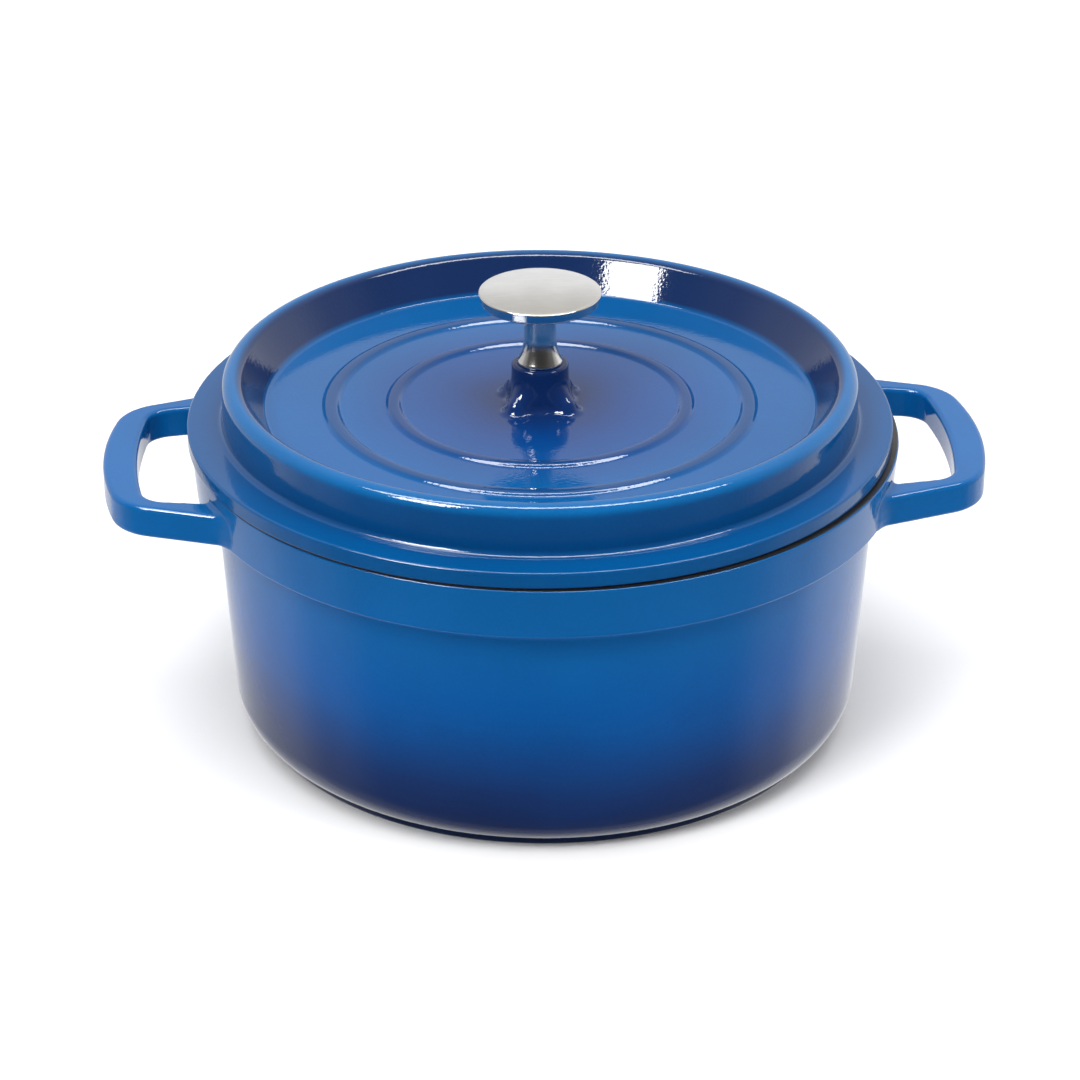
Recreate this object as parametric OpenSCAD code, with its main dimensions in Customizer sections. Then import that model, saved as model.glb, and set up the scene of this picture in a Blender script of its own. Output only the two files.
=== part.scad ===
// Round casserole with two cast loop handles and a flat lid with a steel knob.
// Millimetres. Origin: centre of the base, on the table. +X: through the right handle. +Z: up.

/* [Pot] */
// Outside radius at the rim
rim_r = 130.6; // [120:0.1:140]
// Height of the casting's rim above the table
rim_z = 113.1; // [100:0.1:125]
// Thickness of the pot's wall and of the lid
wall_t = 4; // [3:0.5:5]
// Outside radius of the side wall, measured at the band
wall_r = 122.2; // [118:0.1:124]
// Draft of the side wall, in degrees
draft = 3.7; // [2:0.1:5]
// Outside radius of the curve between base and wall
base_curve = 17; // [12:0.5:22]
// Height of the band that thickens the rim
band_h = 19; // [16:0.5:22]
// How much the band narrows towards its lower edge
band_taper = 1.4; // [0.5:0.1:2]
// Radius of the hollow curve under the band
cove_r = 5; // [3:0.5:6]
// Outside radius of the foot ring
foot_r = 109; // [106:0.5:111]
// Width of the foot ring
foot_w = 6; // [4:0.5:10]
// Height of the foot ring
foot_h = 2; // [1:0.5:3]
// Thickness of the pot's floor
floor_t = 4.5; // [3.5:0.5:6]
// Inside radius of the seat that the lid drops into
seat_r = 125.2; // [124.5:0.1:126]
// Thickness of the black enamel inside the pot and under the lid
enamel_t = 0.5; // [0.3:0.1:0.6]

/* [Handles] */
// Reach of each handle from the pot's axis
handle_reach = 163.2; // [158:0.1:170]
// Height of the handles' top face above the table
handle_z = 107.2; // [105:0.1:110]
// Thickness of the handles, top to bottom
handle_t = 12.1; // [8:0.1:12.5]
// Half the outer width of a handle, at its far end
handle_half = 39; // [36:0.1:42]
// Angle at which the outside of the arms spreads towards the pot, in degrees
arm_spread = 19.2; // [14:0.1:22]
// Width of the grip, measured outwards
grip_w = 12.7; // [10:0.1:15]
// Half the width of the finger gap, at its far end
gap_half = 37.3; // [30:0.1:38]
// Angle at which the finger gap widens towards the pot, in degrees
gap_spread = 9; // [4:0.5:14]

/* [Lid] */
// Outside radius of the lid's flange
flange_r = 130; // [126:0.1:134]
// Thickness of the flange
flange_t = 5.8; // [5:0.1:7]
// Outside radius of the raised rim
crest_r = 116.7; // [114:0.1:118]
// Height of the raised rim above the flange
crest_h = 18; // [15:0.1:22]
// Radius of the rounding on the raised rim
crest_round = 4.15; // [3:0.05:5]
// Radius of the sunken panel
panel_r = 101.3; // [98:0.1:104]
// Height of the panel above the flange
panel_h = 4.3; // [3:0.1:6]
// Height of the two raised beads
bead_h = 1.3; // [0.8:0.1:2]
// Middle radius of the outer bead
bead_outer_r = 77; // [70:0.5:84]
// Middle radius of the inner bead
bead_inner_r = 54; // [46:0.5:60]
// Depth of the locating skirt below the flange
skirt_h = 5.6; // [4:0.2:8]
// Outside radius of the locating skirt
skirt_r = 121.9; // [120:0.1:122]
// How far off centre the lid sits in its seat, within the play
lid_shift = -1.8; // [-2:0.1:2]

/* [Knob] */
// Radius of the knob's disc
disc_r = 22.4; // [18:0.1:26]
// Thickness of the disc
disc_t = 5.4; // [4:0.1:6]
// Height of the whole knob
knob_h = 28.7; // [24:0.1:34]
// Radius of the stem's waist
waist_r = 5.9; // [5:0.1:8]
// Radius of the stem's foot
stem_foot_r = 8.5; // [7:0.1:9.5]
// Height of the boss above the panel
boss_h = 16.2; // [14:0.1:18]
// Radius of the boss at its top
boss_top_r = 10.5; // [10:0.1:11.5]
// Radius of the boss where it meets the panel
boss_base_r = 15; // [14:0.1:17]
// Thread radius of the knob's screw
screw_r = 3; // [2.5:0.1:3]

/* [Hidden] */
$fn = 96;
ARC = 8;               // segments in a fillet
FIT = 0.05;            // radial play round the screw's thread
EDGE_R = 0.8;          // rounding on the larger outside edges
LIP_R = 0.5;           // rounding on the thin lips of the rim and the flange
SEAT_Z = rim_z + enamel_t;              // the lid's enamel rests on the pot's enamel here
FLANGE_Z = SEAT_Z + enamel_t;           // underside of the lid's casting
FLANGE_TOP = FLANGE_Z + flange_t;
PANEL_Z = FLANGE_TOP + panel_h;
CREST_Z = FLANGE_TOP + crest_h;
CREST_C = [crest_r - crest_round, CREST_Z - crest_round];  // centre of the crest's rounding
FLOOR_Z = foot_h + floor_t;
BAND_Z = rim_z - band_h;
BAND_R = rim_r - band_taper;
SIDE_Z = BAND_Z - cove_r;               // top of the plain side wall
BASE_C = [wall_r - (SIDE_Z - base_curve) * tan(draft) - base_curve / cos(draft), base_curve];
FOOT_A = -acos((foot_r - BASE_C[0]) / base_curve);          // where the foot ring meets the curve
INNER_CURVE = base_curve - wall_t;
INNER_WALL_R = wall_r - wall_t / cos(draft);
INNER_C = [INNER_WALL_R - (SIDE_Z - FLOOR_Z - INNER_CURVE) * tan(draft) - INNER_CURVE / cos(draft),
           FLOOR_Z + INNER_CURVE];
POT_CORE = BAND_R - 12;                 // the handles' outlines start here, inside the pot
HANDLE_CORNER = 20;    // rounding at the far corners of a handle
HANDLE_END_R = 127;    // radius of the bowed far end
GAP_CORNER = 10;       // the same two radii on the finger gap
GAP_END_R = 190;
INNER_TOP = SIDE_Z + 6;                 // the inside widens above here, up to the lid's seat
LEDGE = seat_r - INNER_WALL_R;
BOSS_Z = PANEL_Z + boss_h;
RIM_LEAN = 27;         // lean of the raised rim's inner side, in degrees
RIM_SPREAD = 0.5;      // how much the raised rim's outer side spreads towards the flange
FLANGE_FILLET = 3.5;   // hollow curve between the flange and the raised rim
LOBE_R = 4.6;          // radius of the four buttresses round the boss
LOBE_INNER = [7, 0, PANEL_Z + 5.2];     // a buttress runs down from here, inside the boss
LOBE_OUTER = [16.6, 0, PANEL_Z - 1.3];  // to here, in the panel
RECESS_R = 7.5;        // pocket for the screw head, in the underside of the boss
WEB_T = 9;             // metal left between that pocket and the boss's top
RECESS_Z = BOSS_Z - WEB_T;
LID_HOLE_R = screw_r + 0.3;
WASHER_T = 1.2;
SPRING_T = 1.6;
HEAD_H = 3.6;
HEAD_R = 6;
DISC_Z = BOSS_Z + knob_h - disc_t;      // underside of the disc
SPIGOT_R = 4;          // the stem's spigot, pressed into the disc
SPIGOT_H = 2.6;
THREAD_DEPTH = 11;     // length of thread inside the stem
TOP = SPRING_T + WASHER_T + HEAD_H;

BLUE = [0.05, 0.30, 0.60];
BLACK = [0.05, 0.05, 0.06];
STEEL = [0.75, 0.75, 0.76];

// Points on an arc round c, from angle a to angle b.
function arc(c, r, a, b, n = ARC) =
    [for (i = [0:n]) let (t = a + (b - a) * i / n) c + r * [cos(t), sin(t)]];

function unit(v) = v / norm(v);
function heading(v) = atan2(v[1], v[0]);
function left(v) = [-v[1], v[0]];
function tail(p) = [for (i = [1:len(p) - 1]) p[i]];
function reversed(p) = [for (i = [len(p) - 1:-1:0]) p[i]];

// The path p moved t to its left, corner by corner.
function beside(p, t) = [for (i = [0:len(p) - 1])
    let (a = left(unit(p[max(i, 1)] - p[max(i, 1) - 1])),
         j = min(i, len(p) - 2),
         b = left(unit(p[j + 1] - p[j])))
    p[i] + t * (a + b) / (1 + a * b)];

// A corner at q between p and s, rounded to radius r.
function rounded(p, q, s, r) =
    let (u = unit(p - q), v = unit(s - q), half = acos(u * v) / 2,
         c = q + unit(u + v) * r / sin(half),
         a = q + u * r / tan(half) - c, b = q + v * r / tan(half) - c,
         start = atan2(a[1], a[0]), turn = atan2(a[0] * b[1] - a[1] * b[0], a * b))
    arc(c, r, start, start + turn);

// The point on the line through p along d that lies r from e, the further one along d.
function meet(p, d, e, r) = let (q = p - e, b = q * d) p + (sqrt(b * b - q * q + r * r) - b) * d;

// ---------------------------------------------------------------- pot

function pot_outside() = concat(
    [[0, foot_h], [foot_r - foot_w, foot_h], [foot_r - foot_w + 0.5, 0]],
    arc([foot_r - EDGE_R, EDGE_R], EDGE_R, -90, 0, 4),
    arc(BASE_C, base_curve, FOOT_A, -draft),
    [[wall_r, SIDE_Z]],
    arc([wall_r + cove_r, SIDE_Z], cove_r, 176, 90),
    arc([BAND_R - 1, BAND_Z + 1], 1, -90, 0, 4),
    arc([rim_r - LIP_R, rim_z - LIP_R], LIP_R, 0, 90, 3));

// From the rim's outer edge, over the rim, down the seat and the wall, to the floor's centre.
function pot_inside() = concat(
    [[rim_r - LIP_R, rim_z]],
    arc([seat_r + LIP_R, rim_z - LIP_R], LIP_R, 90, 180, 3),
    [[seat_r, INNER_TOP + LEDGE], [INNER_WALL_R, INNER_TOP]],
    arc(INNER_C, INNER_CURVE, -draft, -90),
    [[0, FLOOR_Z]]);

module pot_solid() {
    rotate_extrude() polygon(concat(pot_outside(), [[0, rim_z]]));
}

module pot_casting() {
    color(BLUE) rotate_extrude() polygon(concat(pot_outside(), pot_inside()));
}

module pot_enamel_inside() {
    color(BLACK) rotate_extrude()
        polygon(concat(pot_inside(), reversed(beside(pot_inside(), -enamel_t))));
}

// ---------------------------------------------------------------- handles

// One side of a loop, from inside the pot to the tip: a straight arm that closes in at the given angle,
// a rounded corner and half of the curved end.
function loop_side(reach, half, angle, corner, end_r) =
    let (along = [cos(angle), -sin(angle)], inward = [-sin(angle), -cos(angle)],
         end = [reach - end_r, 0], start = [reach, half],
         c = meet(start + corner * inward, along, end, end_r - corner))
    concat([start + along * (POT_CORE - reach) / cos(angle)],
           arc(c, corner, 90 - angle, heading(c - end)),
           tail(arc(end, end_r, heading(c - end), 0)));

function mirrored(p) = [for (v = p) [v[0], -v[1]]];

// Both sides of a loop, closed inside the pot.
function loop_outline(half_path) = concat(half_path, tail(reversed(mirrored(half_path))));

module handle() {
    color(BLUE) difference() {
        translate([0, 0, handle_z - handle_t]) linear_extrude(handle_t) difference() {
            polygon(loop_outline(loop_side(handle_reach, handle_half, arm_spread, HANDLE_CORNER, HANDLE_END_R)));
            polygon(loop_outline(loop_side(handle_reach - grip_w, gap_half, gap_spread, GAP_CORNER, GAP_END_R)));
        }
        pot_solid();
    }
}

module handle_right() { handle(); }

module handle_left() { rotate([0, 0, 180]) handle(); }

// ---------------------------------------------------------------- lid

function bead(r, half) = let (radius = (half * half + bead_h * bead_h) / (2 * bead_h), a = asin(half / radius))
    arc([r, PANEL_Z + bead_h - radius], radius, 90 + a, 90 - a);

// From the boss's top, over the panel, the raised rim and the flange, to the flange's lower edge.
function lid_top() =
    let (foot = [panel_r, PANEL_Z],
         flare = boss_base_r - boss_top_r)
    concat(
        [[0, BOSS_Z]],
        arc([boss_top_r - 1, BOSS_Z - 1], 1, 90, 10, 4),
        [for (i = [1:ARC]) let (s = i / ARC)
            [boss_top_r + flare * s * s, BOSS_Z - 1 - (boss_h - 1) * s]],
        bead(bead_inner_r, 3.1),
        bead(bead_outer_r, 3.4),
        rounded(foot - [9, 0], foot, foot + 9 * [sin(RIM_LEAN), cos(RIM_LEAN)], 3),
        arc(CREST_C, crest_round, 180 - RIM_LEAN, 0),
        arc([crest_r + RIM_SPREAD + FLANGE_FILLET, FLANGE_TOP + FLANGE_FILLET], FLANGE_FILLET, 180, 270),
        arc([flange_r - EDGE_R, FLANGE_TOP - EDGE_R], EDGE_R, 90, 0, 4),
        arc([flange_r - LIP_R, FLANGE_Z + LIP_R], LIP_R, 0, -90, 3));

// From the flange's lower edge, round the locating skirt and the hollow rim, to the screw's pocket.
function lid_underside() =
    let (low = FLANGE_Z - skirt_h, panel = PANEL_Z - wall_t,
         peak = [crest_r - wall_t, CREST_Z - 7.5])
    concat(
        [[flange_r - LIP_R, FLANGE_Z], [skirt_r, FLANGE_Z], [skirt_r, low + EDGE_R], [skirt_r - EDGE_R, low],
         [skirt_r - wall_t + EDGE_R, low], [skirt_r - wall_t, low + EDGE_R], [peak[0], FLANGE_TOP], peak,
         peak - [0.8, 0], [panel_r + 3.2, panel + 2], [panel_r + 1.2, panel]],
        [[RECESS_R + 2, panel]]);

module lobe() {
    run = LOBE_OUTER - LOBE_INNER;
    translate(LOBE_INNER) rotate([0, atan2(run[0], run[2]), 0])
        rotate_extrude() polygon(concat([[0, 0], [LOBE_R, 0]], arc([0, norm(run)], LOBE_R, 0, 90)));
}

module lid_casting() {
    color(BLUE) translate([lid_shift, 0, 0]) difference() {
        union() {
            rotate_extrude() polygon(concat(lid_top(), lid_underside(), [[0, PANEL_Z - wall_t]]));
            intersection() {
                for (a = [45:90:315]) rotate([0, 0, a]) lobe();
                translate([0, 0, LOBE_OUTER[2]]) cylinder(r = 30, h = boss_h);
            }
        }
        translate([0, 0, PANEL_Z - wall_t - 1]) cylinder(r = RECESS_R, h = RECESS_Z - PANEL_Z + wall_t + 1);
        translate([0, 0, RECESS_Z - 1]) cylinder(r = LID_HOLE_R, h = WEB_T + 2);
    }
}

module lid_enamel_underside() {
    color(BLACK) translate([lid_shift, 0, 0]) rotate_extrude()
        polygon(concat(lid_underside(), reversed(beside(lid_underside(), enamel_t))));
}

// ---------------------------------------------------------------- knob

module knob_disc() {
    color(STEEL) translate([lid_shift, 0, DISC_Z]) difference() {
        rotate_extrude() polygon(concat(
            [[0, 0]],
            rounded([0, 0], [disc_r - 0.8, 0.3], [disc_r, disc_t - 0.6], 1.2),
            arc([disc_r - 0.5, disc_t - 0.5], 0.5, 0, 90, 4),
            [[0, disc_t]]));
        translate([0, 0, -1]) cylinder(r = SPIGOT_R, h = SPIGOT_H + 1);
    }
}

module knob_stem() {
    flare_r = 19;
    drop = sqrt(flare_r * flare_r - (flare_r - stem_foot_r + waist_r) * (flare_r - stem_foot_r + waist_r));
    color(STEEL) translate([lid_shift, 0, BOSS_Z]) difference() {
        rotate_extrude() polygon(concat(
            [[0, 0], [stem_foot_r - 0.4, 0], [stem_foot_r, 0.4]],
            arc([waist_r + flare_r, 0.8 + drop], flare_r, 180 + asin(drop / flare_r), 180),
            [[waist_r, knob_h - disc_t], [SPIGOT_R, knob_h - disc_t],
             [SPIGOT_R, knob_h - disc_t + SPIGOT_H], [0, knob_h - disc_t + SPIGOT_H]]));
        translate([0, 0, -1]) cylinder(r = screw_r + FIT, h = THREAD_DEPTH + 3);
    }
}

module knob_screw() {
    z = RECESS_Z - TOP;
    color(STEEL) translate([lid_shift, 0, z]) difference() {
        union() {
            rotate_extrude() polygon(concat(
                [[0, 0]], arc([HEAD_R - 2, 2], 2, -90, 0), [[HEAD_R, HEAD_H], [0, HEAD_H]]));
            cylinder(r = screw_r, h = TOP + WEB_T + THREAD_DEPTH);
        }
        for (a = [0, 90]) rotate([0, 0, a]) translate([-3, -0.6, -1]) cube([6, 1.2, 3]);
    }
}

module spring_washer() {
    z = RECESS_Z - WASHER_T - SPRING_T;
    color(STEEL) translate([lid_shift, 0, z]) difference() {
        cylinder(r = 5.2, h = SPRING_T);
        translate([0, 0, -1]) cylinder(r = screw_r + 0.1, h = SPRING_T + 2);
        rotate([15, 0, 0]) translate([0, -0.5, -3]) cube([8, 1, 8]);
    }
}

module flat_washer() {
    color(STEEL) translate([lid_shift, 0, RECESS_Z - WASHER_T]) difference() {
        cylinder(r = 6.4, h = WASHER_T);
        translate([0, 0, -1]) cylinder(r = screw_r + 0.2, h = WASHER_T + 2);
    }
}

pot_casting();
handle_left();
handle_right();
pot_enamel_inside();
lid_casting();
lid_enamel_underside();
knob_disc();
knob_stem();
knob_screw();
spring_washer();
flat_washer();
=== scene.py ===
"""Blue enamelled round casserole with its lid on: the looks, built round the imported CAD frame.

Lengths in the shape code are millimetres, and every mesh is scaled to metres as it is made.
Shader, light and camera values are in metres.
"""

import math

import bpy
import numpy as np
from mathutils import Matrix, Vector


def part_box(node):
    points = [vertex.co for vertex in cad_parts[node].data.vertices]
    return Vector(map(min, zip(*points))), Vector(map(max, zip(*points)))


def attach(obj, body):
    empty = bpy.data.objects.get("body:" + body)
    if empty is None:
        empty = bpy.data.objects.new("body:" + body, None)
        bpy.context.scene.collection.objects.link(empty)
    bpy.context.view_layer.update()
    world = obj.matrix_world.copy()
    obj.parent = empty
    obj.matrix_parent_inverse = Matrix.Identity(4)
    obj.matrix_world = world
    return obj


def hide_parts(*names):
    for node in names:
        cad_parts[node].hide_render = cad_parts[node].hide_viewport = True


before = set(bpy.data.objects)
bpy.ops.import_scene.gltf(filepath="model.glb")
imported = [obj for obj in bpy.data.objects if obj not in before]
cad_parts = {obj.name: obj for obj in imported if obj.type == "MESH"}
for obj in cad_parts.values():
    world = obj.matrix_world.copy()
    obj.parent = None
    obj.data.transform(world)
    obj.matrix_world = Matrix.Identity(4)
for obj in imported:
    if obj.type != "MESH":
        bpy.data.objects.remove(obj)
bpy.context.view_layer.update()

MM = 0.001

# ------------------------------------------------------------------ sizes read from the frame, in mm


def box_mm(node):
    """Both corners of a CAD node's box."""
    low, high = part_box(node)
    return [c / MM for c in low], [c / MM for c in high]


POT_LOW, POT_HIGH = box_mm("pot_casting")
LID_LOW, LID_HIGH = box_mm("lid_casting")
ENAMEL_LOW, ENAMEL_HIGH = box_mm("pot_enamel_inside")
HANDLE_LOW, HANDLE_HIGH = box_mm("handle_right")
DISC_LOW, DISC_HIGH = box_mm("knob_disc")
STEM_LOW, STEM_HIGH = box_mm("knob_stem")

RIM_R, RIM_Z = POT_HIGH[1], POT_HIGH[2]
ENAMEL_T = ENAMEL_HIGH[2] - RIM_Z
LID_X = (LID_LOW[0] + LID_HIGH[0]) / 2          # the lid rests off centre in its seat
FLANGE_R = (LID_HIGH[0] - LID_LOW[0]) / 2
FLANGE_Z = RIM_Z + 2 * ENAMEL_T
BOSS_Z = LID_HIGH[2]
HANDLE_REACH, HANDLE_Z, HANDLE_T = HANDLE_HIGH[0], HANDLE_HIGH[2], HANDLE_HIGH[2] - HANDLE_LOW[2]
DISC_R = (DISC_HIGH[0] - DISC_LOW[0]) / 2
DISC_Z, DISC_TOP = DISC_LOW[2], DISC_HIGH[2]
STEM_FOOT_R = (STEM_HIGH[0] - STEM_LOW[0]) / 2

# Shapes that the boxes don't give, in mm and degrees
WALL_T, WALL_R, DRAFT, BASE_CURVE = 4.0, 122.2, 3.7, 17.0
BAND_H, BAND_TAPER, COVE_R = 19.0, 1.4, 5.0
FOOT_R, FOOT_W, FOOT_H, FLOOR_T = 109.0, 6.0, 2.0, 4.5
SEAT_R = 125.2
HANDLE_HALF, ARM_SPREAD, GRIP_W, GAP_HALF, GAP_SPREAD = 39.0, 19.2, 12.7, 37.3, 9.0
HANDLE_CORNER, HANDLE_END_R, GAP_CORNER, GAP_END_R = 20.0, 127.0, 10.0, 190.0
FLANGE_T, CREST_R, CREST_H, CREST_ROUND, PANEL_R, PANEL_H = 5.8, 116.7, 18.0, 4.15, 101.3, 4.3
BEAD_H, BEAD_OUTER_R, BEAD_INNER_R = 1.3, 77.0, 54.0
SKIRT_H, SKIRT_R, RIM_LEAN = 5.6, 121.9, 27.0
BOSS_TOP_R, BOSS_BASE_R, RECESS_R = 10.5, 15.0, 7.5
# The ends of a buttress, out from the axis and up from the panel
BUTTRESS_R, BUTTRESS_TOP, BUTTRESS_TOE = 4.0, (4.5, 7.0), (12.6, 1.6)
WAIST_R, SPIGOT_R, SPIGOT_H, THREAD_R, THREAD_H, FOOT_EDGE = 5.9, 4.0, 2.6, 3.05, 11.0, 0.45

BAND_Z, BAND_R = RIM_Z - BAND_H, RIM_R - BAND_TAPER
SIDE_Z = BAND_Z - COVE_R
FLANGE_TOP = FLANGE_Z + FLANGE_T
PANEL_Z = FLANGE_TOP + PANEL_H
CREST_Z = FLANGE_TOP + CREST_H
FLOOR_Z = FOOT_H + FLOOR_T
TAN, COS = math.tan(math.radians(DRAFT)), math.cos(math.radians(DRAFT))
BASE_C = (WALL_R - (SIDE_Z - BASE_CURVE) * TAN - BASE_CURVE / COS, BASE_CURVE)
FOOT_A = -math.degrees(math.acos((FOOT_R - BASE_C[0]) / BASE_CURVE))
INNER_CURVE = BASE_CURVE - WALL_T
INNER_WALL_R = WALL_R - WALL_T / COS
INNER_C = (INNER_WALL_R - (SIDE_Z - FLOOR_Z - INNER_CURVE) * TAN - INNER_CURVE / COS,
           FLOOR_Z + INNER_CURVE)
INNER_TOP = SIDE_Z + 6

# ------------------------------------------------------------------ outline helpers


def arc(c, r, a, b, n=12):
    """Points on the arc round c with radius r, from angle a to angle b in degrees."""
    t = np.radians(np.linspace(a, b, n + 1))
    return [(c[0] + r * math.cos(x), c[1] + r * math.sin(x)) for x in t]


def rounded(p, q, s, r, n=10):
    """The corner at q between p and s, rounded to radius r."""
    p, q, s = (np.array(v, float) for v in (p, q, s))
    u, v = (p - q) / np.linalg.norm(p - q), (s - q) / np.linalg.norm(s - q)
    half = math.acos(u @ v) / 2
    c = q + (u + v) / np.linalg.norm(u + v) * r / math.sin(half)
    a, b = q + u * r / math.tan(half) - c, q + v * r / math.tan(half) - c
    start = math.atan2(a[1], a[0])
    turn = math.atan2(a[0] * b[1] - a[1] * b[0], a @ b)
    return arc(c, r, math.degrees(start), math.degrees(start + turn), n)


def beside(path, t):
    """The path moved t to its left, with mitred corners."""
    p = np.array(path, float)
    d = np.diff(p, axis=0)
    d /= np.linalg.norm(d, axis=1)[:, None]
    left = np.stack([-d[:, 1], d[:, 0]], 1)
    a, b = np.vstack([left[:1], left]), np.vstack([left, left[-1:]])
    return [tuple(v) for v in p + t * (a + b) / (1 + (a * b).sum(1))[:, None]]


def supported(path, near=0.25, longest=6.0):
    """Adds points near a long segment's ends, and splits it, so that smooth shading stays true."""
    out = [path[0]]
    for p, q in zip(path, path[1:]):
        p, q = np.array(p, float), np.array(q, float)
        length = np.linalg.norm(q - p)
        if length > 8 * near:
            n = max(1, round(length / longest))
            stops = [near / length, *(np.arange(1, n) / n), 1 - near / length]
            out += [tuple(p + (q - p) * s) for s in stops]
        out.append(tuple(q))
    return out


def new_mesh(name, verts, faces, material, body, node=None, slot=None, sharp=50, normals=None):
    """One piece from points in mm, riding on a body and standing for a CAD node."""
    mesh = bpy.data.meshes.new(name)
    mesh.from_pydata((np.asarray(verts, float) * MM).tolist(), [], faces)
    mesh.validate()
    mesh.shade_smooth()
    if normals is None:
        mesh.set_sharp_from_angle(angle=math.radians(sharp))
    else:
        mesh.normals_split_custom_set_from_vertices(normals.tolist())
    mesh.materials.append(material)
    piece = bpy.data.objects.new(name, mesh)
    bpy.context.scene.collection.objects.link(piece)
    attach(piece, body)
    if node:
        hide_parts(node)
    return piece


def lathe_grid(profile, segments, centre_x=0.0):
    """Points and quads of a closed outline (r, z) turned about the axis at centre_x.

    Points on the axis are shared.
    """
    profile = [p for i, p in enumerate(profile) if i == 0 or math.dist(p, profile[i - 1]) > 1e-4]
    turn = np.linspace(0, 2 * math.pi, segments, endpoint=False)
    verts, rings = [], []
    for r, z in profile:
        if r < 1e-6:
            rings.append([len(verts)] * segments)
            verts.append((centre_x, 0, z))
        else:
            rings.append(list(range(len(verts), len(verts) + segments)))
            verts += [(centre_x + r * math.cos(t), r * math.sin(t), z) for t in turn]
    faces = []
    closed = profile[0][0] > 1e-6
    pairs = list(zip(rings, rings[1:])) + ([(rings[-1], rings[0])] if closed else [])
    for a, b in pairs:
        for i in range(segments):
            j = (i + 1) % segments
            quad = [a[i], b[i], b[j], a[j]]
            face = [v for k, v in enumerate(quad) if v not in quad[:k]]
            if len(face) > 2:
                faces.append(face)
    return np.array(verts, float), faces


def outward(profile):
    """True if the outline runs so that lathe_grid's faces look outwards."""
    p = np.array(profile)
    q = np.roll(p, -1, axis=0)
    return (p[:, 0] * q[:, 1] - q[:, 0] * p[:, 1]).sum() < 0


def lathe(name, profile, material, body, segments=256, centre_x=0.0, **keys):
    """One turned piece, from a closed outline that may run either way."""
    profile = profile if outward(profile) else profile[::-1]
    verts, faces = lathe_grid(profile, segments, centre_x)
    return new_mesh(name, verts, faces, material, body, **keys)


# ------------------------------------------------------------------ distance fields


def polygon_distance(points, outlines):
    """Signed distance in the plane from points to closed outlines, negative inside."""
    a = np.vstack([np.array(o, float) for o in outlines])
    b = np.vstack([np.roll(np.array(o, float), -1, axis=0) for o in outlines])
    d = b - a
    dd = np.maximum((d * d).sum(1), 1e-12)
    out = np.empty(len(points))
    for s in range(0, len(points), 20000):
        p = points[s:s + 20000, None, :]
        w = p - a
        t = np.clip((w * d).sum(2) / dd, 0, 1)
        near = ((w - d * t[..., None]) ** 2).sum(2).min(1)
        crosses = (a[:, 1] > p[..., 1]) != (b[:, 1] > p[..., 1])
        side = w[..., 0] < d[:, 0] * (w[..., 1]) / np.where(d[:, 1] == 0, 1e-12, d[:, 1])
        inside = (crosses & side).sum(1) % 2 == 1
        out[s:s + 20000] = np.where(inside, -1, 1) * np.sqrt(near)
    return out


def round_union(a, b, k):
    """The union of two distance fields, with a fillet of radius k where they meet."""
    u, v = np.maximum(k - a, 0), np.maximum(k - b, 0)
    return np.maximum(k, np.minimum(a, b)) - np.sqrt(u * u + v * v)


def gradient(field, p, step=0.02):
    """The slope of a field at the points p, by central differences."""
    g = np.empty_like(p)
    for i in range(3):
        e = np.zeros(3)
        e[i] = step
        g[:, i] = (field(p + e) - field(p - e)) / (2 * step)
    return g


def surface_net(field, low, high, cell, rounds=4):
    """The surface where field is 0 as a closed mesh of quads, its points moved onto the surface."""
    axes = [np.arange(a, b + cell, cell) for a, b in zip(low, high)]
    grid = np.stack(np.meshgrid(*axes, indexing="ij"), -1)
    shape = grid.shape[:3]
    value = field(grid.reshape(-1, 3)).reshape(shape)
    inside = value < 0
    cells = tuple(n - 1 for n in shape)
    total, count = np.zeros(cells + (3,)), np.zeros(cells)
    corner = [(i, j, k) for i in (0, 1) for j in (0, 1) for k in (0, 1)]

    def part(array, c):
        return array[tuple(slice(o, o + n) for o, n in zip(c, cells))]

    for c in corner:
        for axis in range(3):
            if c[axis]:
                continue
            e = tuple(o + (i == axis) for i, o in enumerate(c))
            va, vb = part(value, c), part(value, e)
            cross = part(inside, c) != part(inside, e)
            t = np.where(cross, va / np.where(cross, va - vb, 1), 0)
            p = part(grid, c) + (part(grid, e) - part(grid, c)) * t[..., None]
            total += np.where(cross[..., None], p, 0)
            count += cross
    active = count > 0
    index = np.full(cells, -1)
    index[active] = np.arange(active.sum())
    verts = total[active] / count[active][:, None]
    faces = []
    for axis in range(3):
        u, v = (axis + 1) % 3, (axis + 2) % 3
        a = np.moveaxis(inside, (axis, u, v), (0, 1, 2))
        ids = np.moveaxis(index, (axis, u, v), (0, 1, 2))
        change = a[:-1, 1:-1, 1:-1] != a[1:, 1:-1, 1:-1]
        i, j, k = np.nonzero(change)
        first = a[:-1, 1:-1, 1:-1][i, j, k]
        quad = np.stack([ids[i, j, k], ids[i, j + 1, k], ids[i, j + 1, k + 1], ids[i, j, k + 1]], 1)
        faces.append(np.where(first[:, None], quad, quad[:, ::-1]))
    for _ in range(rounds):
        g = gradient(field, verts)
        step = field(verts)[:, None] * g / np.maximum((g * g).sum(1), 0.2)[:, None]
        size = np.linalg.norm(step, axis=1)[:, None]
        verts -= step * np.minimum(1, 0.6 * cell / np.maximum(size, 1e-9))
    return verts, np.vstack(faces).tolist()


# ------------------------------------------------------------------ outlines of the castings


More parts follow.
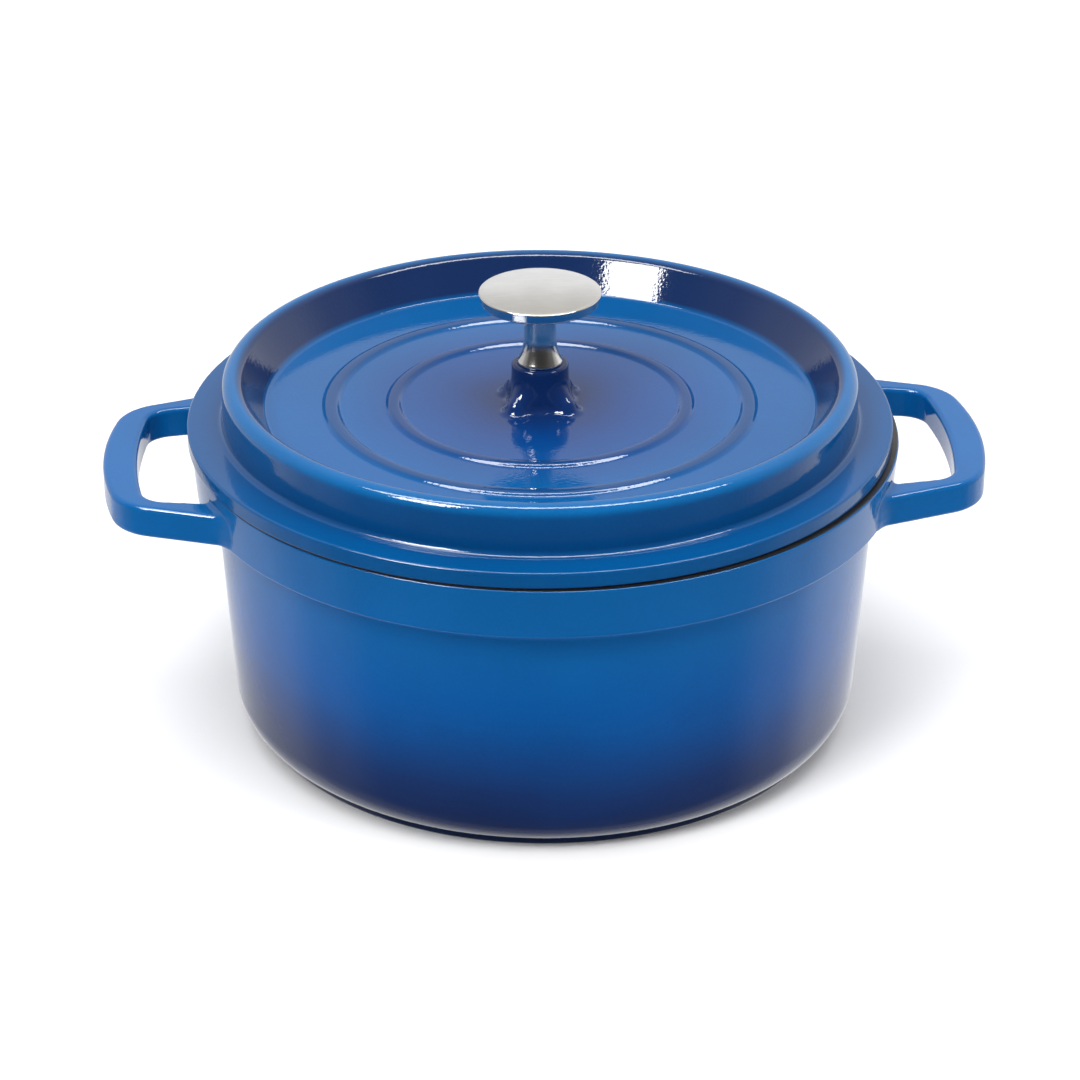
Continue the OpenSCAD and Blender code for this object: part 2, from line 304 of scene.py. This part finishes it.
def pot_outside():
    """From the middle of the base, up the outside, to the rim's outer edge."""
    return ([(0, FOOT_H), (FOOT_R - FOOT_W - 0.6, FOOT_H), (FOOT_R - FOOT_W, 1.5)]
            + arc((FOOT_R - FOOT_W + 1, 0.6), 0.6, 200, 270, 4)
            + arc((FOOT_R - 0.8, 0.8), 0.8, -90, 0, 5)
            + arc(BASE_C, BASE_CURVE, FOOT_A, -DRAFT, 28)
            + [(WALL_R, SIDE_Z)]
            + arc((WALL_R + COVE_R, SIDE_Z), COVE_R, 175, 90, 14)
            + arc((BAND_R - 1.1, BAND_Z + 1.1), 1.1, -90, 0, 8)
            + arc((RIM_R - 0.5, RIM_Z - 0.5), 0.5, 0, 90, 5))


def pot_inside():
    """From the rim's outer edge, down the seat and the wall, to the middle of the floor."""
    ledge = SEAT_R - INNER_WALL_R
    return ([(RIM_R - 0.5, RIM_Z)]
            + arc((SEAT_R + 0.5, RIM_Z - 0.5), 0.5, 90, 180, 5)
            + rounded((SEAT_R, RIM_Z), (SEAT_R, INNER_TOP + ledge), (INNER_WALL_R, INNER_TOP), 2, 6)
            + [(INNER_WALL_R, INNER_TOP)]
            + arc(INNER_C, INNER_CURVE, -DRAFT, -90, 20)
            + [(0, FLOOR_Z)])


def bead(r, half):
    """A raised band, slightly domed, with steep rounded shoulders. half is half its width."""
    step, dome, shoulder, softness = 0.1, 0.3, math.radians(40), 0.24
    x = np.arange(-half - 1.2, half + 1.21, step)
    top = BEAD_H * (1 - dome * (x / half) ** 2)
    z = np.clip(np.minimum(top, (half - np.abs(x)) * math.tan(shoulder)), 0, None)
    soften = np.exp(-np.arange(-0.9, 0.91, step) ** 2 / (2 * softness ** 2))
    z = np.convolve(z, soften / soften.sum(), "same")
    keep = slice(3, -3, 2)
    return [(r + a, PANEL_Z + b) for a, b in zip(x[keep], z[keep])]


def boss_side(flare=BOSS_BASE_R - BOSS_TOP_R):
    """From the top of the boss down its side to the panel. flare is how much it widens."""
    edge = 1.2
    s = np.linspace(0, 1, 34)[1:]
    return (arc((BOSS_TOP_R - edge, BOSS_Z - edge), edge, 90, 8, 7)
            + [(BOSS_TOP_R + flare * x * x, BOSS_Z - edge - (BOSS_Z - edge - PANEL_Z) * x) for x in s])


def lid_rim():
    """From the panel, over the raised rim and the flange, to the flange's lower edge."""
    foot = np.array((PANEL_R, PANEL_Z))
    lean = math.radians(RIM_LEAN)
    reach, inner_fillet, outer_fillet, upper_edge, lower_edge = 9, 1.6, 2.2, 0.9, 0.5
    up = foot + reach * np.array((math.sin(lean), math.cos(lean)))
    return (rounded(foot - (reach, 0), foot, up, inner_fillet, 10)
            + arc((CREST_R - CREST_ROUND, CREST_Z - CREST_ROUND), CREST_ROUND, 180 - RIM_LEAN, 0, 24)
            + arc((CREST_R + 2.6, FLANGE_TOP + outer_fillet), outer_fillet, 178, 270, 10)
            + arc((FLANGE_R - upper_edge, FLANGE_TOP - upper_edge), upper_edge, 90, 0, 7)
            + arc((FLANGE_R - lower_edge, FLANGE_Z + lower_edge), lower_edge, 0, -90, 4))


def lid_underside():
    """From the flange's lower edge, round the skirt and the hollow rim, to the screw's pocket."""
    low, panel = FLANGE_Z - SKIRT_H, PANEL_Z - WALL_T
    peak = (CREST_R - WALL_T, CREST_Z - 7.5)
    return ([(FLANGE_R - 0.5, FLANGE_Z), (SKIRT_R, FLANGE_Z)]
            + arc((SKIRT_R - 0.8, low + 0.8), 0.8, 0, -90, 5)
            + arc((SKIRT_R - WALL_T + 0.8, low + 0.8), 0.8, -90, -180, 5)
            + [(peak[0], FLANGE_TOP), peak, (peak[0] - 0.8, peak[1]),
               (PANEL_R + 3.2, panel + 2), (PANEL_R + 1.2, panel), (RECESS_R + 2, panel)])


# ------------------------------------------------------------------ materials


class Nodes:
    """A material's node tree, with short calls for the nodes used here."""

    def __init__(self, name):
        self.material = bpy.data.materials.new(name)
        self.material.use_nodes = True
        self.tree = self.material.node_tree
        self.shader = self.tree.nodes["Principled BSDF"]
        self.place = self.new("ShaderNodeTexCoord").outputs["Object"]

    def new(self, kind, **values):
        node = self.tree.nodes.new(kind)
        for key, value in values.items():
            setattr(node, key, value)
        return node

    def feed(self, socket, value):
        if isinstance(value, bpy.types.NodeSocket):
            self.tree.links.new(value, socket)
        else:
            socket.default_value = value

    def set(self, **values):
        """Feeds the shader's inputs, named with _ for each space."""
        for key, value in values.items():
            self.feed(self.shader.inputs[key.replace("_", " ")], value)

    def maths(self, operation, a, b=0.0, clamp=False):
        node = self.new("ShaderNodeMath", operation=operation, use_clamp=clamp)
        self.feed(node.inputs[0], a)
        self.feed(node.inputs[1], b)
        return node.outputs[0]

    def range(self, value, low, high, out_low=0.0, out_high=1.0, smooth=True):
        node = self.new("ShaderNodeMapRange", interpolation_type="SMOOTHSTEP" if smooth else "LINEAR")
        for socket, v in zip(node.inputs, (value, low, high, out_low, out_high)):
            self.feed(socket, v)
        return node.outputs[0]

    def ramp(self, value, stops, ease="EASE"):
        node = self.new("ShaderNodeValToRGB")
        node.color_ramp.interpolation = ease
        elements = node.color_ramp.elements
        while len(elements) < len(stops):
            elements.new(0.5)
        for e, (at, colour) in zip(elements, stops):
            e.position, e.color = at, (*colour, 1)
        self.feed(node.inputs[0], value)
        return node.outputs[0]

    def mix(self, factor, a, b, blend="MIX"):
        node = self.new("ShaderNodeMix", data_type="RGBA", blend_type=blend)
        for socket, v in zip((node.inputs[0], node.inputs[6], node.inputs[7]), (factor, a, b)):
            self.feed(socket, v if isinstance(v, (bpy.types.NodeSocket, float, int)) else (*v, 1))
        return node.outputs[2]

    def noise(self, scale, detail=2.0, rough=0.5, stretch=None, vector=None):
        vector = vector or self.place
        if stretch:
            node = self.new("ShaderNodeMapping")
            self.feed(node.inputs[0], vector)
            node.inputs["Scale"].default_value = stretch
            vector = node.outputs[0]
        node = self.new("ShaderNodeTexNoise")
        self.feed(node.inputs["Vector"], vector)
        for key, v in (("Scale", scale), ("Detail", detail), ("Roughness", rough)):
            node.inputs[key].default_value = v
        return node.outputs["Fac"]

    def axes(self, centre_x=0.0):
        """x, y, z and the distance from the axis at centre_x, in metres."""
        split = self.new("ShaderNodeSeparateXYZ")
        self.feed(split.inputs[0], self.place)
        x, y, z = split.outputs
        dx = self.maths("SUBTRACT", x, centre_x)
        squares = self.maths("ADD", self.maths("MULTIPLY", dx, dx), self.maths("MULTIPLY", y, y))
        r = self.maths("SQRT", squares)
        return x, y, z, r

    def bump(self, height, distance, strength=1.0, under=None):
        node = self.new("ShaderNodeBump")
        node.inputs["Strength"].default_value = strength
        node.inputs["Distance"].default_value = distance
        self.feed(node.inputs["Height"], height)
        if under:
            self.feed(node.inputs["Normal"], under)
        return node.outputs[0]


def finish_enamel(n, colour):
    """Glossy enamel with orange peel, a slow waviness and small variations of tint and gloss."""
    tint = n.range(n.noise(22, 2, 0.5), 0.3, 0.7, 0.96, 1.03)
    fleck = n.range(n.noise(900, 2, 0.6), 0.35, 0.65, 0.97, 1.02)
    shade = n.maths("MULTIPLY", tint, fleck)
    grey = n.new("ShaderNodeCombineColor")
    for socket in grey.inputs:
        n.feed(socket, shade)
    peel = n.bump(n.noise(850, 1.0, 0.4), 0.00005, 0.8)
    wave = n.bump(n.noise(60, 1, 0.5), 0.0002, 0.03, peel)
    n.set(Base_Color=n.mix(1.0, colour, grey.outputs[0], "MULTIPLY"),
          Roughness=n.range(n.noise(60, 3, 0.6), 0.3, 0.7, 0.24, 0.32),
          Normal=wave, Coat_Normal=wave, Coat_Weight=0.87, Coat_Roughness=0.06, Coat_IOR=1.5)
    n.shader.inputs["Specular IOR Level"].default_value = 0.0
    return n.material


# Albedo of the blue enamel by height on the pot, in mm, from the foot to the rim
POT_TINTS = [(0, (0.006, 0.016, 0.060)), (12.7, (0.006, 0.019, 0.080)), (24, (0.006, 0.026, 0.110)),
             (38.6, (0.004, 0.046, 0.185)), (49, (0.002, 0.064, 0.245)), (61.5, (0.001, 0.078, 0.290)),
             (82, (0.002, 0.098, 0.315)), (113, (0.002, 0.092, 0.285))]
# The same by distance from the lid's axis. The darkening towards the boss is painted shade from the
# knob above it, and the dip at 117 mm on the raised rim's outer wall is painted shade too.
LID_TINTS_AND_SHADE = [(0, (0.007, 0.015, 0.065)), (19, (0.004, 0.029, 0.135)), (30, (0.002, 0.038, 0.172)),
             (42, (0.002, 0.048, 0.195)), (58, (0.003, 0.058, 0.212)), (72, (0.002, 0.074, 0.240)),
             (96, (0.001, 0.080, 0.255)), (117, (0.002, 0.058, 0.195)), (130, (0.001, 0.066, 0.212))]
# Painted shade for the inner wall of the raised rim, and a painted sheen for its crest
RIM_PAINTED_SHADE, CREST_PAINTED_SHEEN = (0.006, 0.022, 0.085), (0.003, 0.100, 0.290)


def pot_enamel():
    """Blue that darkens to navy towards the base."""
    n = Nodes("blue_enamel_pot")
    _, _, z, _ = n.axes()
    drift = n.maths("MULTIPLY", n.maths("SUBTRACT", n.noise(14, 2, 0.5), 0.5), 0.018)
    height = n.range(n.maths("ADD", z, drift), 0.0, RIM_Z * MM, smooth=False)
    colour = n.ramp(height, [(z / RIM_Z, tint) for z, tint in POT_TINTS], "LINEAR")
    return finish_enamel(n, colour)


def lid_enamel():
    """Blue with painted shade that darkens it towards the boss and inside the raised rim, and a painted
    sheen along the crest.
    """
    n = Nodes("blue_enamel_lid")
    _, _, z, r = n.axes(LID_X * MM)
    drift = n.maths("MULTIPLY", n.maths("SUBTRACT", n.noise(16, 2, 0.5), 0.5), 0.012)
    out = n.range(n.maths("ADD", r, drift), 0.0, FLANGE_R * MM, smooth=False)
    # The tints carry painted shade towards the boss and on the rim's outer wall
    colour = n.ramp(out, [(r / FLANGE_R, tint) for r, tint in LID_TINTS_AND_SHADE], "LINEAR")
    # Painted shade: navy on the inner wall of the raised rim
    raised = n.range(z, (PANEL_Z + 0.3) * MM, (PANEL_Z + 2.2) * MM)
    crest_middle = CREST_R - CREST_ROUND
    within = n.range(r, (crest_middle - 3) * MM, (crest_middle + 0.5) * MM, 1.0, 0.0)
    outside_boss = n.range(r, 2 * BOSS_BASE_R * MM, 3 * BOSS_BASE_R * MM)
    inner_wall_shade = n.maths("MULTIPLY", n.maths("MULTIPLY", raised, within), outside_boss)
    # Painted sheen, lighter along the crest of the raised rim
    crest_sheen = n.maths("MULTIPLY", n.range(z, (CREST_Z - 5) * MM, (CREST_Z - 1.5) * MM), outside_boss)
    colour = n.mix(crest_sheen, colour, CREST_PAINTED_SHEEN)
    return finish_enamel(n, n.mix(inner_wall_shade, colour, RIM_PAINTED_SHADE))


def black_enamel():
    """Half-matt black with fine pale flecks."""
    n = Nodes("black_enamel")
    flecks = [(0.0, (0.006, 0.006, 0.007)), (0.62, (0.010, 0.010, 0.011)), (0.70, (0.045, 0.045, 0.05))]
    colour = n.ramp(n.noise(1400, 2, 0.7), flecks, "LINEAR")
    n.set(Base_Color=colour, Roughness=n.range(n.noise(80, 3, 0.6), 0.3, 0.7, 0.30, 0.42),
          Normal=n.bump(n.noise(420, 2, 0.5), 0.0001, 0.4))
    return n.material


def steel(name, colour, rough, grain, anisotropy=0.0):
    """Steel with fine lines, straight if the grain is "brushed", round the axis if "turned". The
    brushed one has painted shade, darker towards the front.
    """
    n = Nodes(name)
    _, y, z, r = n.axes(LID_X * MM)
    if grain == "turned":
        ring = n.new("ShaderNodeCombineXYZ")
        n.feed(ring.inputs[0], r)
        n.feed(ring.inputs[2], z)
        lines = n.noise(1.0, 3, 0.65, (5200, 1, 5200), ring.outputs[0])
    else:
        lines = n.noise(1.0, 3, 0.65, (90, 5200, 90))
        # Painted shade, darker towards the front of the disc
        colour = n.mix(n.range(y, -0.022, 0.014), (0.56, 0.54, 0.50), colour)
    stain = n.noise(60, 3, 0.6)
    tone = n.maths("MULTIPLY", n.range(lines, 0.25, 0.75, 0.90, 1.06),
                   n.range(stain, 0.3, 0.7, 0.95, 1.03))
    grey = n.new("ShaderNodeCombineColor")
    for socket in grey.inputs:
        n.feed(socket, tone)
    n.set(Base_Color=n.mix(1.0, colour, grey.outputs[0], "MULTIPLY"), Metallic=1.0,
          Roughness=n.range(lines, 0.2, 0.8, rough * 0.85, rough * 1.2),
          Normal=n.bump(lines, 0.00002, 0.25))
    if anisotropy:
        n.set(Anisotropic=anisotropy, Anisotropic_Rotation=0.25)
        around = n.new("ShaderNodeTangent", direction_type="RADIAL", axis="Z")
        n.feed(n.shader.inputs["Tangent"], around.outputs[0])
    return n.material


POT_BLUE, LID_BLUE, BLACK = pot_enamel(), lid_enamel(), black_enamel()
SATIN = steel("brushed_steel", (0.84, 0.84, 0.83), 0.34, "brushed")
TURNED = steel("turned_steel", (0.66, 0.64, 0.61), 0.13, "turned", 0.6)
ZINC = steel("plated_steel", (0.60, 0.60, 0.58), 0.30, "turned")

# ------------------------------------------------------------------ pot


def make_pot():
    """The blue casting, and the black enamel as a skin on its inside."""
    lathe("pot_body", supported(pot_outside() + pot_inside()), POT_BLUE, "pot",
          node="pot_casting", slot="blue_enamelled_iron")
    skin = pot_inside()
    lathe("pot_black_enamel", supported(skin + beside(skin, -ENAMEL_T)[::-1]), BLACK, "pot",
          node="pot_enamel_inside", slot="black_enamel")


def loop_side(reach, half, angle, corner, end_r, n=24):
    """One side of a loop: an arm closing in at the angle, a round corner, half the curved end."""
    a = math.radians(angle)
    along, inward = np.array((math.cos(a), -math.sin(a))), np.array((-math.sin(a), -math.cos(a)))
    end, start = np.array((reach - end_r, 0.0)), np.array((reach, half))
    p, e = start + corner * inward, end
    q = p - e
    b = q @ along
    c = p + (math.sqrt(b * b - q @ q + (end_r - corner) ** 2) - b) * along
    towards = math.degrees(math.atan2(*(c - end)[::-1]))
    first = start + along * (BAND_R - 12 - reach) / math.cos(a)
    return [tuple(first)] + arc(c, corner, 90 - angle, towards, n) + arc(end, end_r, towards, 0, 16)[1:]


def loop_outline(half):
    """A loop's closed outline, from its one side and the mirror image of it."""
    return half + [(x, -y) for x, y in half[::-1][1:]]


def make_handles():
    """Both loops, with rounded edges and fillets running out onto the band."""
    edge, sunk = 1.9, 1.2
    root, root_flat = 5.0, 1.8      # fillet radii at mid height, and above and below the handle
    outer = loop_outline(loop_side(HANDLE_REACH, HANDLE_HALF, ARM_SPREAD, HANDLE_CORNER, HANDLE_END_R))
    gap = loop_outline(loop_side(HANDLE_REACH - GRIP_W, GAP_HALF, GAP_SPREAD, GAP_CORNER, GAP_END_R))
    pot = supported(pot_outside() + [(0, RIM_Z)], 0.5, 20)
    middle = HANDLE_Z - HANDLE_T / 2

    def loop(p):
        flat = polygon_distance(p[:, :2], [outer, gap])
        u, v = flat + edge, np.abs(p[:, 2] - middle) - (HANDLE_T / 2 - edge)
        away = np.sqrt(np.maximum(u, 0) ** 2 + np.maximum(v, 0) ** 2)
        return np.minimum(np.maximum(u, v), 0) + away - edge

    def body(p):
        return polygon_distance(np.stack([np.hypot(p[:, 0], p[:, 1]), p[:, 2]], 1), [pot])

    def fillet(p):
        high = np.abs(p[:, 2] - middle) / (HANDLE_T / 2)
        return root_flat + (root - root_flat) * np.clip((1.25 - high) / 0.9, 0, 1)

    def joined(p):
        return round_union(loop(p), body(p), fillet(p))

    def solid(p):
        h, b, k = loop(p), body(p), fillet(p)
        return np.maximum(np.maximum(round_union(h, b, k), h - 0.97 * k), -b - sunk)

    splay, cell = 26.3, 0.85
    low = (BAND_R * math.cos(math.radians(26)) - 8, -HANDLE_HALF - splay, HANDLE_Z - HANDLE_T - 7.3)
    high = (HANDLE_REACH + 1.5, HANDLE_HALF + splay, HANDLE_Z + 6)
    verts, faces = surface_net(solid, low, high, cell)
    normals = gradient(joined, verts)
    normals /= np.linalg.norm(normals, axis=1)[:, None]
    for name, sign in (("right", 1), ("left", -1)):
        turned = np.array((sign, sign, 1))
        new_mesh("loop_handle_" + name, verts * turned, faces, POT_BLUE, "pot",
                 node="handle_" + name, slot="blue_enamelled_iron", normals=normals * turned)


# ------------------------------------------------------------------ lid and knob


def boss_field(p):
    """Distance to the panel with the boss and its four buttresses blended into it."""
    foot_fillet, buttress_fillet, depth = 3.0, 3.5, 12
    r = np.hypot(p[:, 0], p[:, 1])
    neck = boss_side((BOSS_BASE_R - BOSS_TOP_R) / 4)
    outline = [(-9, PANEL_Z - depth), (-9, BOSS_Z)] + neck + [(neck[-1][0], PANEL_Z - depth)]
    body = polygon_distance(np.stack([r, p[:, 2]], 1), [outline])
    body = round_union(body, p[:, 2] - PANEL_Z, foot_fillet)
    # x runs out along the nearest buttress, y across it
    turn = np.radians(np.round((np.degrees(np.arctan2(p[:, 1], p[:, 0])) - 45) / 90) * 90 + 45)
    x = p[:, 0] * np.cos(turn) + p[:, 1] * np.sin(turn)
    y = -p[:, 0] * np.sin(turn) + p[:, 1] * np.cos(turn)
    a, b = (np.array((out, 0, PANEL_Z + up)) for out, up in (BUTTRESS_TOP, BUTTRESS_TOE))
    lobes = []
    # The nearest buttress and, by symmetry, the next one
    for q in (np.stack([x, y, p[:, 2]], 1), np.stack([np.abs(y), x, p[:, 2]], 1)):
        t = np.clip(((q - a) @ (b - a)) / ((b - a) @ (b - a)), 0, 1)
        lobes.append(np.linalg.norm(q - a - t[:, None] * (b - a), axis=1) - BUTTRESS_R)
    return round_union(body, round_union(*lobes, buttress_fillet), buttress_fillet)


def make_lid():
    """The blue casting with its boss and buttresses, and the black enamel under it."""
    segments, rounds, spacing, blend_r, pocket_roof = 288, 10, 0.4, 27.0, BOSS_Z - 9
    top = ([(0, BOSS_Z), (5, BOSS_Z)] + boss_side()
           + [(r, PANEL_Z) for r in np.arange(BOSS_BASE_R + spacing, blend_r + 3, spacing)]
           + bead(BEAD_INNER_R, 3.1) + bead(BEAD_OUTER_R, 3.4) + lid_rim())
    under = lid_underside()
    pocket = [(RECESS_R, PANEL_Z - WALL_T), (RECESS_R, pocket_roof), (0, pocket_roof)]
    profile = supported(top + under + pocket)
    profile = profile if outward(profile) else profile[::-1]
    verts, faces = lathe_grid(profile, segments)
    r = np.hypot(verts[:, 0], verts[:, 1])
    moves = (r < blend_r) & (r > BOSS_TOP_R - 1.5) & (verts[:, 2] > PANEL_Z - 0.01)
    # Each point steps along the slope of the field to the blended surface.
    # Evening out the grid between the steps keeps it regular.
    near = verts[moves].reshape(-1, segments, 3)
    for _ in range(rounds):
        around = 0.5 * (np.roll(near, 1, 1) + np.roll(near, -1, 1))
        along = 0.5 * (near[2:] + near[:-2])
        near[1:-1] = 0.4 * near[1:-1] + 0.4 * along + 0.2 * around[1:-1]
        flat = near[1:-1].reshape(-1, 3)
        slope = gradient(boss_field, flat, 0.2)
        flat = flat - slope * (boss_field(flat) / (slope ** 2).sum(1))[:, None]
        near[1:-1] = flat.reshape(-1, segments, 3)
    verts[moves] = near.reshape(-1, 3)
    verts[:, 0] += LID_X
    new_mesh("lid_body", verts, faces, LID_BLUE, "lid", node="lid_casting", slot="blue_enamelled_iron")
    lathe("lid_black_enamel", supported(under + beside(under, ENAMEL_T)[::-1]), BLACK, "lid",
          centre_x=LID_X, node="lid_enamel_underside", slot="black_enamel")


def make_knob():
    """The disc, brushed on top and turned elsewhere, and the waisted stem. The fasteners stay CAD."""
    disc_t, crown, edge, rim_edge, under_edge, flare = DISC_TOP - DISC_Z, 0.8, 0.45, 1.1, 1.3, 19.0
    disc = ([(0, DISC_Z + SPIGOT_H), (SPIGOT_R, DISC_Z + SPIGOT_H), (SPIGOT_R, DISC_Z)]
            + [(x, DISC_Z + y) for x, y in
               rounded((SPIGOT_R, 0), (DISC_R - 0.8, 0.3), (DISC_R, disc_t - rim_edge), under_edge, 10)
               + arc((DISC_R - edge, disc_t - crown - edge), edge, 0, 86, 7)]
            + [(DISC_R * x, DISC_TOP - crown * x ** 2)
               for x in np.linspace((DISC_R - edge) / DISC_R, 0, 12)])
    cap = lathe("knob_cap", supported(disc), SATIN, "lid", 160, LID_X,
                node="knob_disc", slot="brushed_steel")
    cap.data.materials.append(TURNED)
    for face in cap.data.polygons:
        face.material_index = int(face.center.z < (DISC_TOP - crown - 0.03) * MM)
    drop = math.sqrt(flare ** 2 - (flare - STEM_FOOT_R + WAIST_R) ** 2)
    start = 180 + math.degrees(math.asin(drop / flare))
    stem = ([(0, BOSS_Z + THREAD_H), (THREAD_R, BOSS_Z + THREAD_H),
             (THREAD_R, BOSS_Z + 0.3), (THREAD_R + 0.3, BOSS_Z), (STEM_FOOT_R - FOOT_EDGE, BOSS_Z)]
            + arc((STEM_FOOT_R - FOOT_EDGE, BOSS_Z + FOOT_EDGE), FOOT_EDGE, -80, 0, 4)
            + arc((WAIST_R + flare, BOSS_Z + 2 * FOOT_EDGE + drop), flare, start, 180, 20)
            + [(WAIST_R, DISC_Z), (SPIGOT_R, DISC_Z),
               (SPIGOT_R, DISC_Z + SPIGOT_H), (0, DISC_Z + SPIGOT_H)])
    lathe("knob_pillar", supported(stem, 0.15), TURNED, "lid", 128, LID_X,
          node="knob_stem", slot="polished_steel")
    for node in ("knob_screw", "spring_washer", "flat_washer"):
        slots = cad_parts[node].data.materials
        if len(slots):
            for i in range(len(slots)):
                slots[i] = ZINC
        else:
            slots.append(ZINC)


make_pot()
make_handles()
make_lid()
make_knob()

# ------------------------------------------------------------------ stage, light and camera


def make_floor():
    """A pale floor, with painted shade that makes it a little greyer in front. It doesn't show in
    reflections.
    """
    half = 4.0
    mesh = bpy.data.meshes.new("floor")
    corners = [(-half, -half, 0), (half, -half, 0), (half, half, 0), (-half, half, 0)]
    mesh.from_pydata(corners, [], [(0, 1, 2, 3)])
    floor = bpy.data.objects.new("floor", mesh)
    bpy.context.scene.collection.objects.link(floor)
    n = Nodes("pale_floor")
    _, y, _, _ = n.axes()
    mottle = n.mix(n.noise(3, 2, 0.5), (0.92, 0.92, 0.925), (0.94, 0.94, 0.945))
    # Painted shade: the floor greys towards the front
    n.set(Base_Color=n.mix(n.range(y, -0.32, -0.12), (0.72, 0.73, 0.76), mottle), Roughness=0.6)
    n.shader.inputs["Specular IOR Level"].default_value = 0.2
    mesh.materials.append(n.material)
    floor.visible_glossy = False


def softbox(name, azimuth, elevation, distance, width, height, power, shines=True, glints=True):
    """An area light round the object. Azimuth 0 is the front and 90 is the right.

    One that shines lights the surfaces, and one that glints shows in their reflections.
    """
    aim = (0, 0, 0.08)
    a, e = math.radians(azimuth), math.radians(elevation)
    away = Vector((math.sin(a) * math.cos(e), -math.cos(a) * math.cos(e), math.sin(e)))
    data = bpy.data.lights.new(name, "AREA")
    data.shape, data.size, data.size_y, data.energy = "RECTANGLE", width, height, power
    lamp = bpy.data.objects.new(name, data)
    bpy.context.scene.collection.objects.link(lamp)
    lamp.location = Vector(aim) + away * distance
    lamp.rotation_euler = away.to_track_quat("Z", "Y").to_euler()
    lamp.visible_diffuse, lamp.visible_glossy = shines, glints


def make_world():
    """A pale room, dark towards the front, brighter at the back, low down and on the right."""
    world = bpy.data.worlds.new("room")
    bpy.context.scene.world = world
    world.use_nodes = True
    nodes, link = world.node_tree.nodes, world.node_tree.links.new

    def maths(operation, *values):
        node = nodes.new("ShaderNodeMath")
        node.operation = operation
        for socket, value in zip(node.inputs, values):
            if isinstance(value, bpy.types.NodeSocket):
                link(value, socket)
            else:
                socket.default_value = value
        return node.outputs[0]

    split = nodes.new("ShaderNodeSeparateXYZ")
    link(nodes.new("ShaderNodeTexCoord").outputs["Generated"], split.inputs[0])
    x, y, z = split.outputs
    ramp = nodes.new("ShaderNodeValToRGB")
    ramp.color_ramp.interpolation = "EASE"
    link(maths("MULTIPLY_ADD", y, 0.5, 0.5), ramp.inputs[0])
    front_to_back = [(0.0, 0.06), (0.32, 0.15), (0.5, 0.5), (0.68, 1.0), (1.0, 1.0)]
    elements = ramp.color_ramp.elements
    while len(elements) < len(front_to_back):
        elements.new(0.5)
    for e, (at, v) in zip(elements, front_to_back):
        e.position, e.color = at, (v, v, v * 1.01, 1)
    height = nodes.new("ShaderNodeMapRange")
    link(z, height.inputs[0])
    low, high, low_strength, high_strength = -0.3, 0.5, 1.0, 0.75
    for socket, v in zip(list(height.inputs)[1:5], (low, high, low_strength, high_strength)):
        socket.default_value = v
    strength = maths("MULTIPLY", height.outputs[0], maths("MULTIPLY_ADD", x, 0.22, 1.06))
    link(ramp.outputs[0], nodes["Background"].inputs[0])
    link(strength, nodes["Background"].inputs[1])


def make_camera():
    """A long lens, looking down from the front and slightly from the left."""
    aim, distance = Vector((-0.00182, 0.00012, 0.0669)), 1.40003
    azimuth, elevation = math.radians(-3.75), math.radians(26.847)
    away = Vector((math.sin(azimuth) * math.cos(elevation), -math.cos(azimuth) * math.cos(elevation),
                   math.sin(elevation)))
    data = bpy.data.cameras.new("camera")
    data.lens, data.sensor_width, data.clip_start, data.clip_end = 124.17, 36, 0.01, 50
    camera = bpy.data.objects.new("camera", data)
    bpy.context.scene.collection.objects.link(camera)
    camera.location = aim + away * distance
    camera.rotation_euler = away.to_track_quat("Z", "Y").to_euler()
    bpy.context.scene.camera = camera


make_floor()
make_world()
softbox("key", -42, 42, 1.7, 0.7, 0.7, 14, glints=False)
softbox("high_glint", -49, 46, 1.57, 0.5, 0.5, 27, shines=False)
softbox("fill", 58, 35, 1.7, 0.6, 0.9, 8, glints=False)
softbox("top", -10, 80, 1.6, 1.6, 1.6, 30, glints=False)
softbox("top_glint", 0, 83, 1.6, 2.6, 0.3, 44, shines=False)
make_camera()
bpy.context.scene.view_settings.view_transform = "Standard"
